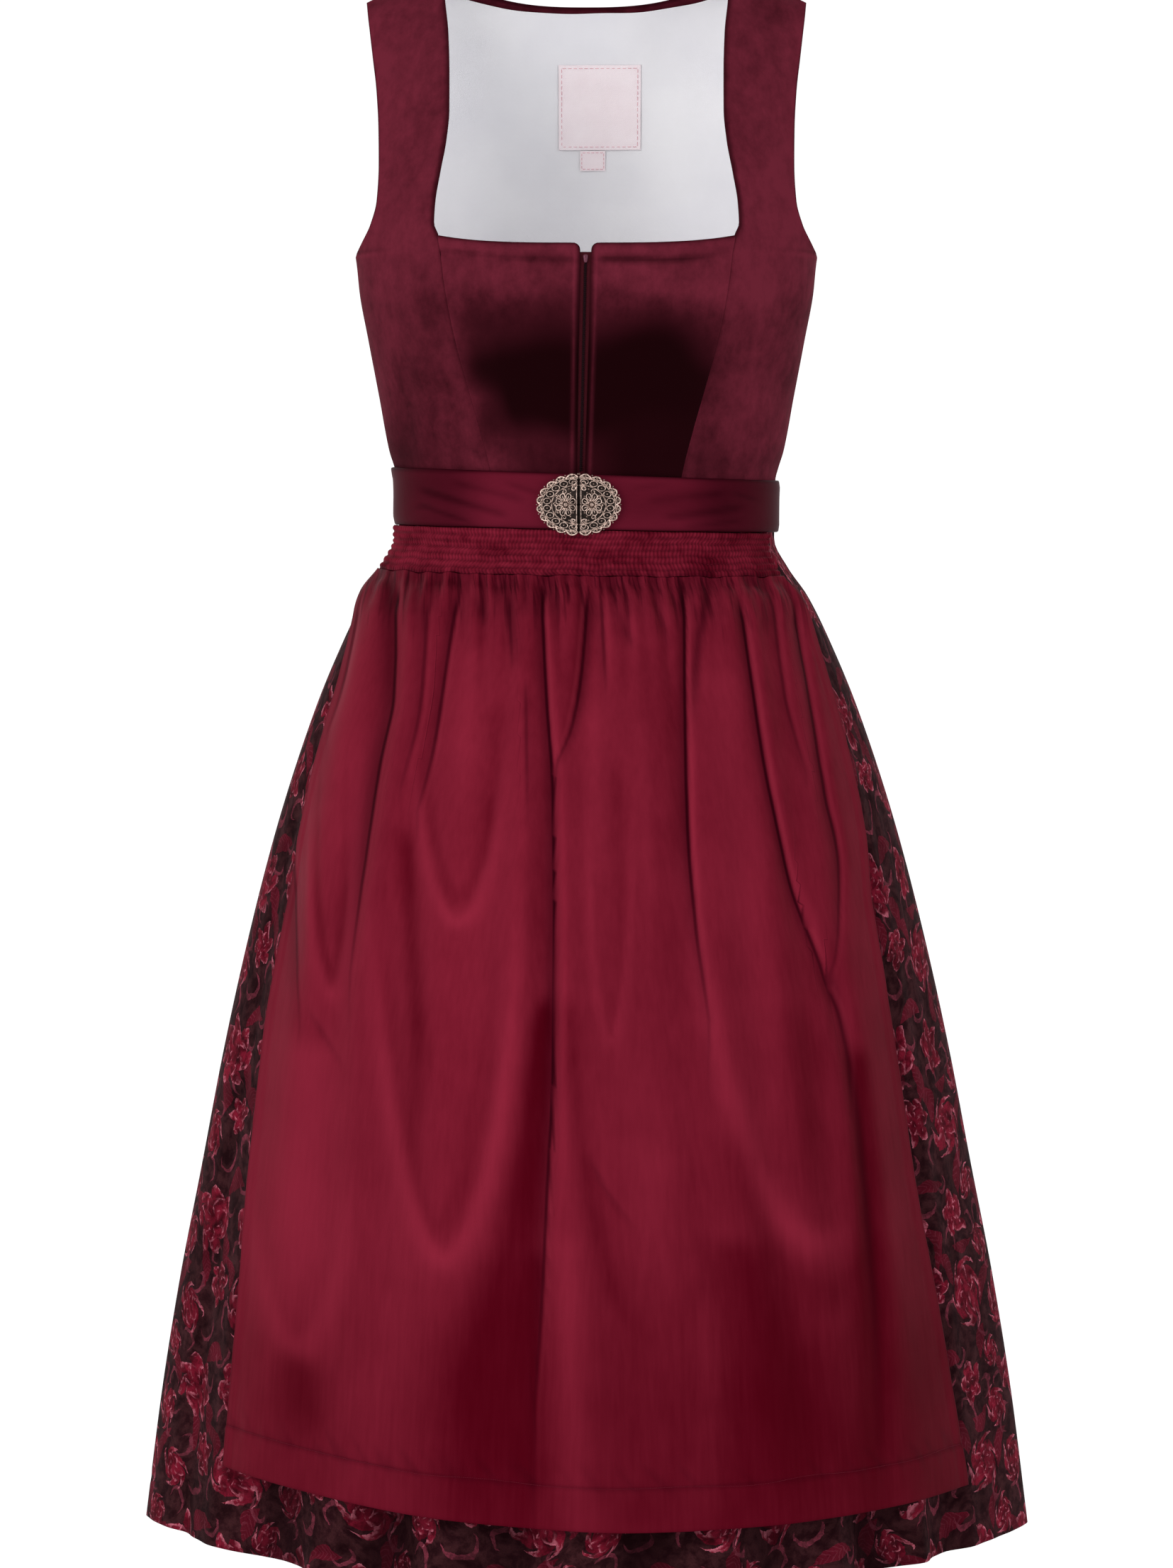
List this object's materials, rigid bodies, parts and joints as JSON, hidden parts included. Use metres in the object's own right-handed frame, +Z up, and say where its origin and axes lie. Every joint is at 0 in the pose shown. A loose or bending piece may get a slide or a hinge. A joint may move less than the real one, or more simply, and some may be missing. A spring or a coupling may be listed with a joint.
{
  "type": "dirndl with apron",
  "caption": "Knee-length dirndl, hollow as worn: square-necked velvet bodice with front zip, floral jacquard skirt, and satin apron with belt, clasp and shirred band.",
  "frame": {"origin": "between the shoulders, level with the top of the straps, in the plane of the side seams", "axes": "+Z up, the front faces -Y, +X to the right of someone looking at the front"},
  "size_m": [0.6199, 0.5186, 1.0799],
  "materials": {
    "velvet": "short-pile wine-red velvet, dull sheen at grazing angles",
    "jacquard": "dark woven jacquard with crimson and pink flowers, low satin sheen",
    "satin": "shot crimson satin, soft gloss",
    "belt_satin": "wine-red satin, soft gloss",
    "lining": "plain pale cotton, matte",
    "label": "woven pale pink ribbon, matte",
    "silver": "antiqued silver filigree, dark in the hollows",
    "zip": "dyed nylon coil and lacquered slider"
  },
  "bodies": {
    "root": {"bodice_front_centre_left": "velvet", "bodice_front_centre_right": "velvet", "bodice_front_side_left": "velvet", "bodice_front_side_right": "velvet", "bodice_back_side_left": "velvet", "bodice_back_side_right": "velvet", "bodice_back_centre": "velvet", "lining_back": "lining", "label": "label", "size_tab": "label", "zip_tape": "velvet", "zip_coil": "zip", "zip_slider": "zip", "belt": "belt_satin", "clasp_left": "silver", "clasp_right": "silver", "apron_band": "satin", "apron_panel": "satin", "skirt_front": "jacquard", "skirt_back": "jacquard"}
  },
  "joints": []
}
